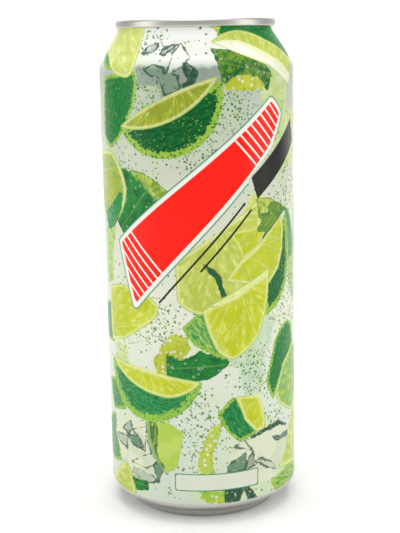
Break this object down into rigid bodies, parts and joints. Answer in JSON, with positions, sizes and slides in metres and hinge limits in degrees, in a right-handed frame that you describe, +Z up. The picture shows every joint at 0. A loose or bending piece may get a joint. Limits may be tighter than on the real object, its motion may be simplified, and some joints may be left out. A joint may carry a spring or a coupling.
{
  "type": "sealed drinks can of mojito soft drink",
  "caption": "Sealed half-litre aluminium drinks can with a stay-on tab, printed with lime wedges and mint on a pale ground, for a mojito soft drink.",
  "frame": {"origin": "centre of the base ring, on the surface that the can stands on", "axes": "+Z up along the can's axis; -Y is the printed front and the side the pouring panel is on; +X is to the right seen from the front"},
  "size_m": [0.066, 0.066, 0.168],
  "materials": {
    "printed_aluminium": "gloss lacquer over print",
    "bare_aluminium": "satin",
    "tab_aluminium": "bright satin"
  },
  "bodies": {
    "root": {"can_body": "printed_aluminium", "lid": "bare_aluminium", "tab": "tab_aluminium"}
  },
  "joints": []
}
